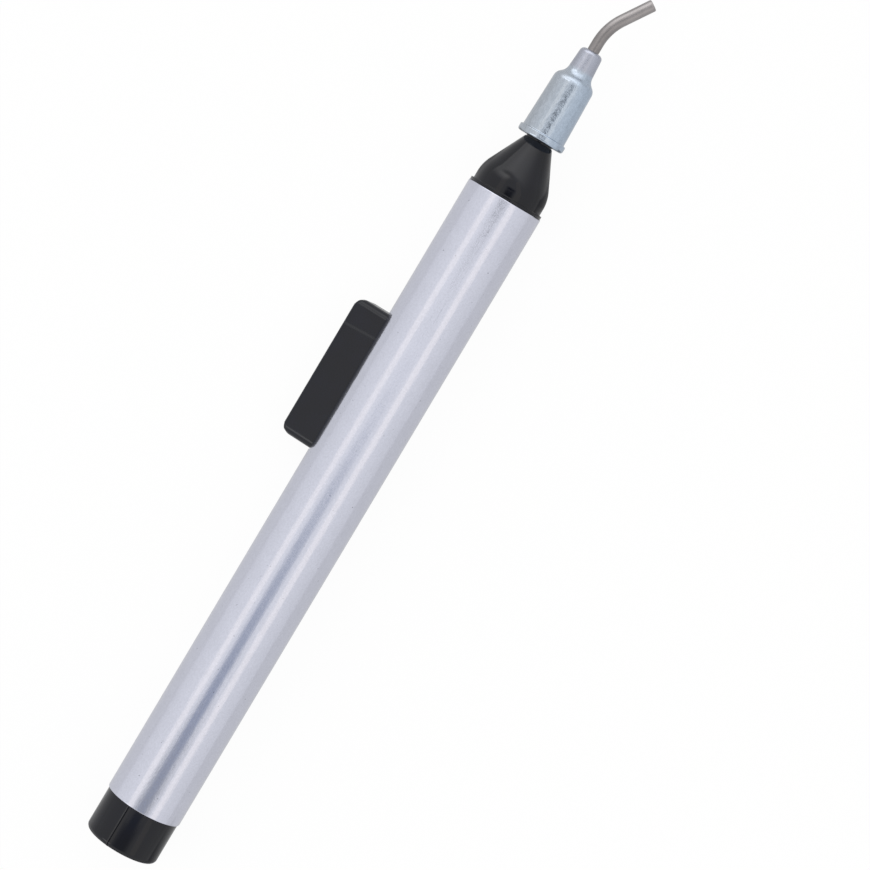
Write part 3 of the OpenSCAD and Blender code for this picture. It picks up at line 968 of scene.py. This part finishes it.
class PEN_OT_nose(bpy.types.Operator):
    """Makes the nose cone with its slip taper and barbed stem"""

    bl_idname = "pen.make_nose"
    bl_label = "Make nose cone"

    def execute(self, context):
        sizes = context.scene.pen_nose
        look = context.scene.pen_finish
        material = black_plastic(look, "nose_plastic", look.plastic, look.plastic_roughness)
        tube_end = station("barrel", 1)
        plug_start = tube_end - sizes.plug_length
        flange_end = tube_end + sizes.flange_thickness
        hollow_end = flange_end + sizes.base_length
        cone_start = hollow_end + sizes.shoulder_radius * tan(sizes.cone_angle / 2)
        taper_end = station("nose_cone", 1)
        taper_start = taper_end - sizes.taper_length
        air = sizes.air_way / 2
        core = sizes.core_diameter / 2
        plug = sizes.plug_diameter / 2
        hollow = plug - sizes.wall
        flange = sizes.flange_diameter / 2
        base = sizes.base_diameter / 2
        edge = sizes.edge
        corners = [(station("nose_cone", 0), air, 0), *stem_corners(sizes, 0)]
        corners += [
            (plug_start, core, 0), (hollow_end, core, 0),
            (hollow_end, hollow, 0), (plug_start, hollow, 0),
            (plug_start, plug, sizes.lead_in), (tube_end, plug, 0),
            (tube_end, flange, edge), (flange_end, flange, edge), (flange_end, base, edge),
            (cone_start, base, sizes.shoulder_radius),
            (taper_start, sizes.tip_diameter / 2, edge),
            (taper_start, sizes.taper_diameter / 2, 0),
            (taper_end, taper_radius(sizes, taper_end), edge), (taper_end, air, 0),
        ]
        mesh = turned("nose", corners, material)
        piece("nose", mesh, "pen_body", "black_plastic", "nose_cone")
        return {"FINISHED"}


class PEN_OT_hub(bpy.types.Operator):
    """Makes the needle hub"""

    bl_idname = "pen.make_hub"
    bl_label = "Make needle hub"

    def execute(self, context):
        sizes = context.scene.pen_hub
        nose = context.scene.pen_nose
        needle = context.scene.pen_needle
        mouth = station("needle_hub", 0)
        end = station("needle_hub", 1)
        body = mouth + sizes.flange_thickness
        flange = sizes.flange_diameter / 2
        shoulder = sizes.shoulder_diameter / 2
        neck = sizes.neck_foot / 2
        seat = needle.diameter / 2 + sizes.seat_gap
        seat_start = end - sizes.seat_length
        drill_start = seat_start - taper_radius(nose, seat_start) + seat
        rounds = sizes.shoulder_radius, sizes.neck_root
        corners = [
            (mouth, flange, sizes.mouth_edge), (body, flange, sizes.flange_edge),
            (body, sizes.foot_diameter / 2, sizes.foot_fillet),
            *curved_step(end - sizes.neck_length, shoulder, neck, *rounds),
            (end, sizes.neck_top / 2, sizes.neck_edge), (end, seat + sizes.seat_rim / 2, 0),
            (end - sizes.seat_rim, seat, 0), (seat_start, seat, 0),
            (drill_start, taper_radius(nose, drill_start) + sizes.taper_gap, 0),
            (mouth, taper_radius(nose, mouth) + sizes.taper_gap, 0),
        ]
        material = bright_plating(context.scene.pen_finish, REAR.x + end - sizes.neck_length)
        mesh = turned("hub", corners, material, corner_steps=16)
        piece("hub", mesh, "needle", "plated_hub", "needle_hub")
        return {"FINISHED"}


class PEN_OT_needle(bpy.types.Operator):
    """Makes the bent needle"""

    bl_idname = "pen.make_needle"
    bl_label = "Make needle"

    def execute(self, context):
        sizes = context.scene.pen_needle
        material = satin_steel(context.scene.pen_finish)
        tip = Vector(TIP["pos_m"])
        way = Vector(TIP["axis"])
        bend = atan2(-way.y, way.x)
        to_corner = (tip.y - REAR.y) / way.y
        setback = sizes.bend_radius * tan(bend / 2)
        bend_start = tip.x - to_corner * way.x - REAR.x - setback
        seat_start = station("needle_hub", 1) - context.scene.pen_hub.seat_length
        tip_leg = to_corner - setback + sizes.tip_inset
        end = bend_start + sizes.bend_radius * bend + tip_leg
        outer = sizes.diameter / 2
        inner = sizes.bore / 2
        corners = [
            (seat_start, inner, 0), (seat_start, outer, 0),
            (end, outer, sizes.edge), (end, inner, sizes.edge / 4),
        ]
        straight = turned("needle_straight", corners, material, steps=64, corner_steps=4, cuts=80)
        values = {
            "Place": REAR, "From": bend_start, "Radius": sizes.bend_radius, "Angle": bend,
            "Material": material,
        }
        mesh = grown(straight, bent_tree(), values)
        piece("bent_needle", mesh, "needle", "needle_steel", "needle_tube")
        return {"FINISHED"}


class PEN_OT_button(bpy.types.Operator):
    """Makes the push button with its ribs and saddle"""

    bl_idname = "pen.make_button"
    bl_label = "Make push button"

    def execute(self, context):
        sizes = context.scene.pen_button
        look = context.scene.pen_finish
        scuff_at = REAR.x + BUTTON_X + sizes.scuff_place
        finish = "button_plastic", look.button, look.button_roughness
        material = black_plastic(look, *finish, BUTTON_RELIEF, scuff_at)
        half = sizes.length / 2
        side = sizes.width / 2

        def rounding(start, end):
            """Radius of the button's edge between two corners of its block."""
            if max(start.y, end.y) < WELD or min(start.y, end.y) > WELD and start.x != end.x:
                return sizes.edge if start.y > WELD else 0
            return sizes.end_corner if min(start.y, end.y) > WELD else sizes.upright_corner

        bar = block("button_bar", (-half, 0, -side), (half, sizes.top, side), material)
        mesh = softened(bar, rounding)
        to_pen = Matrix((FORWARD, OUTWARD, ACROSS)).transposed().to_4x4()
        to_pen.translation = REAR + FORWARD * (BUTTON_X - sizes.offset)
        mesh.transform(to_pen)
        saddle_start = station("push_button", 0)
        saddle_end = station("push_button", 1)
        reach = (saddle_end - saddle_start) / 2
        inside = sizes.saddle_radius - sizes.saddle_thickness

        def rod(radius, run_out):
            """A round rod along the pen's axis under the button."""
            corners = [
                (saddle_start - run_out, 0, 0), (saddle_start - run_out, radius, 0),
                (saddle_end + run_out, radius, 0), (saddle_end + run_out, 0, 0),
            ]
            return turned("rod", corners, material, closed=False, steps=128)

        def box(low, high):
            """A box in the button's own axes, set in its place on the pen."""
            made = block("box", low, high, material)
            made.transform(to_pen)
            return made

        saddle_side = sizes.saddle_width / 2
        slab = box((-2 * reach, 0, -saddle_side), (2 * reach, sizes.top, saddle_side))
        saddle = joined(rod(sizes.saddle_radius, 0), slab, "INTERSECT")
        mesh = joined(mesh, saddle, "UNION")
        pocket_half = half - sizes.wall
        pocket_side = side - sizes.wall
        pitch = 2 * pocket_half / (sizes.rib_count + 1)
        for i in range(sizes.rib_count + 1):
            low = -pocket_half + i * pitch + (sizes.wall / 2 if i else 0)
            high = -pocket_half + (i + 1) * pitch - (sizes.wall / 2 if i < sizes.rib_count else 0)
            top = sizes.top - sizes.wall
            pocket = box((low, inside / 2, -pocket_side), (high, top, pocket_side))
            mesh = joined(mesh, pocket, "DIFFERENCE")
        mesh = joined(mesh, rod(inside, sizes.wall), "DIFFERENCE")
        mesh = even_normals(mesh, BUTTON_SHARP_FROM)
        piece("button_bar", mesh, "button", "button_plastic", "push_button")
        return {"FINISHED"}


class PEN_OT_bulb(bpy.types.Operator):
    """Makes the rubber bulb inside the tube"""

    bl_idname = "pen.make_bulb"
    bl_label = "Make rubber bulb"

    def execute(self, context):
        sizes = context.scene.pen_bulb
        nose = context.scene.pen_nose
        outer = sizes.diameter / 2
        inner = outer - sizes.wall
        neck = sizes.neck_diameter / 2
        rear = station("squeeze_bulb", 0)
        front = station("squeeze_bulb", 1)
        bend = sizes.shoulder_radius
        step = curved_step(front - sizes.neck_length, outer, neck, bend, bend)
        corners = [(rear, 0, 0), (rear, outer, outer), *step]
        corners += [(front, neck, 0), *reversed(stem_corners(nose, sizes.stem_gap))]
        hollow = rear + sizes.wall
        corners += [(step[0][0], inner, 0), (hollow, inner, inner), (hollow, 0, 0)]
        material = soft_rubber(context.scene.pen_finish)
        mesh = turned("rubber_bulb", corners, material, closed=False, steps=96, corner_steps=16)
        made = piece("rubber_bulb", mesh, "pen_body", "bulb_rubber", "squeeze_bulb")
        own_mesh(made)
        return {"FINISHED"}


class PEN_OT_stage(bpy.types.Operator):
    """Sets the camera, the lamps, the white surroundings and the floor"""

    bl_idname = "pen.set_stage"
    bl_label = "Set stage"

    def execute(self, context):
        scene = context.scene
        stage = scene.pen_stage
        scene.view_settings.view_transform = "Standard"
        self.set_camera(scene, stage)
        self.set_floor(scene, stage, scene.pen_fades)
        self.set_lamps(scene, stage)
        self.set_surroundings(scene, stage, scene.pen_fades)
        return {"FINISHED"}

    def set_surroundings(self, scene, stage, fades):
        """Puts a white tent around the pen, which the camera sees as plain white."""
        scene.world = bpy.data.worlds.new("white_tent")
        scene.world.use_nodes = True
        scene.world.node_tree.nodes.clear()
        start = Wire(scene.world.node_tree)
        way = start.node("ShaderNodeTexCoord", out="Generated").xyz()
        tint = self.tent_colour(stage, fades, *way)
        level = self.tent_level(stage, fades, *way)
        tent = start.node("ShaderNodeBackground", links={"Color": tint, "Strength": level})
        links = {"Color": (*WHITE, 1), "Strength": 1.0}
        white = start.node("ShaderNodeBackground", links=links)
        seen = start.node("ShaderNodeLightPath", out="Is Camera Ray")
        light = start.node("ShaderNodeMixShader", links={0: seen, 1: tent, 2: white})
        start.node("ShaderNodeOutputWorld", links={"Surface": light})

    def tent_colour(self, stage, fades, x, y, z):
        """The tent's white, with a dark gap overhead behind the camera and before it."""
        height = z.math("MAXIMUM", stage.tent_foot)
        along = x / height
        wide = along.until(*fades.gap_wide)
        aside = (y / height + stage.gap_shift).math("ABSOLUTE") / (wide * stage.gap_widening + 1)
        near, deep = along.until(*fades.gap_near), along.until(*fades.gap_deep)
        behind = near * stage.gap_step + deep * (1 - stage.gap_step)
        behind = behind * along.between(*fades.gap_end)
        before = along.between(*fades.strip_from) * along.until(*fades.strip_to)
        gap = behind + before * stage.strip_depth
        gap = gap * aside.until(*fades.gap_side) * z.between(*fades.gap_foot)
        dark = blend(wide + along.between(*fades.gap_grey), stage.gap_blue, stage.gap_grey)
        return blend(gap * stage.gap_depth, WHITE, dark)

    def tent_level(self, stage, fades, x, y, z):
        """The tent's brightness, with a bright front before the needle and a patch at the rear."""
        low = stage.front_low
        front = x.between(*fades.front_along) * y.between(*fades.front_side)
        front = front * (y.between(*fades.front_aside) * stage.front_aside + 1)
        front = front * z.between(*fades.front_foot) * z.until(*fades.front_top)
        front = front * (z.between(*fades.front_climb) * (1 - low) + low)
        lean = (y * stage.front_lean + z).between(*fades.front_lean)
        front = front * (1 - lean * x.between(*fades.front_far))
        rear = x.between(*fades.rear_from) * x.until(*fades.rear_to)
        rear = rear * y.between(*fades.rear_side) * z.between(*fades.rear_foot)
        level = (front + rear * stage.rear_glow) * stage.front_glow
        return level + z * stage.tent_overhead + y * stage.tent_aside + stage.tent_glow

    def set_camera(self, scene, stage):
        """Puts the camera over the pen, tilted back along it and turned in the picture."""
        along = FORWARD * cos(stage.camera_tilt) - Vector((0, 0, sin(stage.camera_tilt)))
        aside = Vector((0, 1, 0))
        right = along * cos(stage.camera_turn) - aside * sin(stage.camera_turn)
        up = along * sin(stage.camera_turn) + aside * cos(stage.camera_turn)
        placed = Matrix((right, up, right.cross(up))).transposed().to_4x4()
        place = stage.camera_x, REAR.y - stage.camera_side, REAR.z + stage.camera_height
        placed.translation = place
        lens = bpy.data.cameras.new("photo_camera")
        lens.lens = stage.focal_length
        lens.clip_start = 0.01
        camera = bpy.data.objects.new("photo_camera", lens)
        camera.matrix_world = placed
        scene.collection.objects.link(camera)
        scene.camera = camera

    def set_floor(self, scene, stage, fades):
        """Lays a white floor that keeps a soft shadow, and is darker where gloss mirrors it, with a
        painted shadow by the nose and the tail.
        """
        material, place = new_material("white_floor")
        path = place.node("ShaderNodeLightPath")
        mirrored = path.out("Is Glossy Ray").math("MAXIMUM", path.out("Is Transmission Ray"))
        along, aside, _ = place.xyz()
        along = along - REAR.x
        # Painted shadow: the mirrored floor is darker by the nose and the tail, towards the blank
        # side, and painted a little brighter on the button's side
        off = (aside - REAR.y + stage.floor_shift).math("ABSOLUTE")
        ends = along.between(*fades.floor_nose) * along.until(*fades.floor_hub)
        ends = ends + along.until(*fades.floor_tail)
        darker = ends * off.until(*fades.floor_close) * stage.floor_ends
        dimmed = aside.between(*fades.floor_aside) * stage.floor_aside + stage.floor_dimmed
        dimmed = dimmed * (1 - darker)
        seen = (path * stage.floor_glow).math("MAXIMUM", mirrored * stage.floor_mirrored)
        paper = place.node("ShaderNodeBsdfDiffuse", links={"Color": (*stage.floor_paper, 1)})
        links = {"Color": path.math("MAXIMUM", dimmed), "Strength": 1.0}
        glow = place.node("ShaderNodeEmission", links=links)
        surface = place.node("ShaderNodeMixShader", links={0: seen, 1: paper, 2: glow})
        place.node("ShaderNodeOutputMaterial", links={"Surface": surface})
        half = stage.floor_size / 2
        mesh = bpy.data.meshes.new("floor")
        corners = [(-half, -half, 0), (half, -half, 0), (half, half, 0), (-half, half, 0)]
        mesh.from_pydata(corners, [], [(0, 1, 2, 3)])
        mesh.materials.append(material)
        floor = bpy.data.objects.new("floor", mesh)
        scene.collection.objects.link(floor)

    def set_lamps(self, scene, stage):
        """Hangs a strip lamp along each side of the pen."""
        hangings = (
            ("lamp_button_side", 1, 0, 1),
            ("lamp_blank_side", -1, stage.lamp_turn, stage.lamp_narrowing),
        )
        for name, sign, swing, narrowing in hangings:
            lamp = bpy.data.lights.new(name, "AREA")
            lamp.shape = "RECTANGLE"
            lamp.size = stage.lamp_length
            lamp.size_y = stage.lamp_width * narrowing
            lamp.energy = stage.lamp_glow * pi * lamp.size * stage.lamp_width
            lamp.color = stage.lamp_colour
            hung = bpy.data.objects.new(name, lamp)
            lean = Matrix.Rotation(-sign * stage.lamp_angle, 4, FORWARD)
            lift = Matrix.Translation((0, 0, stage.lamp_distance))
            middle = Matrix.Translation(REAR + FORWARD * BUTTON_X)
            hung.matrix_world = middle @ lean @ lift @ Matrix.Rotation(swing, 4, "Z")
            scene.collection.objects.link(hung)


GROUPS = {
    "pen_tube": PEN_PG_tube,
    "pen_tail": PEN_PG_tail,
    "pen_nose": PEN_PG_nose,
    "pen_hub": PEN_PG_hub,
    "pen_needle": PEN_PG_needle,
    "pen_button": PEN_PG_button,
    "pen_bulb": PEN_PG_bulb,
    "pen_finish": PEN_PG_finish,
    "pen_stage": PEN_PG_stage,
    "pen_fades": PEN_PG_fades,
}
OPERATORS = (
    PEN_OT_stage, PEN_OT_tube, PEN_OT_tail, PEN_OT_nose,
    PEN_OT_hub, PEN_OT_needle, PEN_OT_button, PEN_OT_bulb,
)


class PEN_PT_panel(bpy.types.Panel):
    """Lists the pen's pieces, sizes and finishes"""

    bl_idname = "PEN_PT_panel"
    bl_label = "Vacuum pick up pen"
    bl_space_type = "VIEW_3D"
    bl_region_type = "UI"
    bl_category = "Pen"

    def draw(self, context):
        for operator in OPERATORS:
            self.layout.operator(operator.bl_idname)
        for name, group in GROUPS.items():
            box = self.layout.box()
            box.label(text=group.__doc__)
            for size in group.__annotations__:
                box.prop(getattr(context.scene, name), size)


def register():
    """Registers the add-on's classes and hangs its settings on the scene."""
    for made in (*GROUPS.values(), *OPERATORS, PEN_PT_panel):
        bpy.utils.register_class(made)
    for name, group in GROUPS.items():
        setattr(bpy.types.Scene, name, PointerProperty(type=group))


def unregister():
    """Takes the add-on's settings and classes away again."""
    for name in GROUPS:
        delattr(bpy.types.Scene, name)
    for made in reversed((*GROUPS.values(), *OPERATORS, PEN_PT_panel)):
        bpy.utils.unregister_class(made)


def main():
    """Sets the stage and makes every piece."""
    register()
    bpy.ops.pen.set_stage()
    bpy.ops.pen.make_tube()
    bpy.ops.pen.make_tail()
    bpy.ops.pen.make_nose()
    bpy.ops.pen.make_hub()
    bpy.ops.pen.make_needle()
    bpy.ops.pen.make_button()
    bpy.ops.pen.make_bulb()


if __name__ == "__main__":
    main()
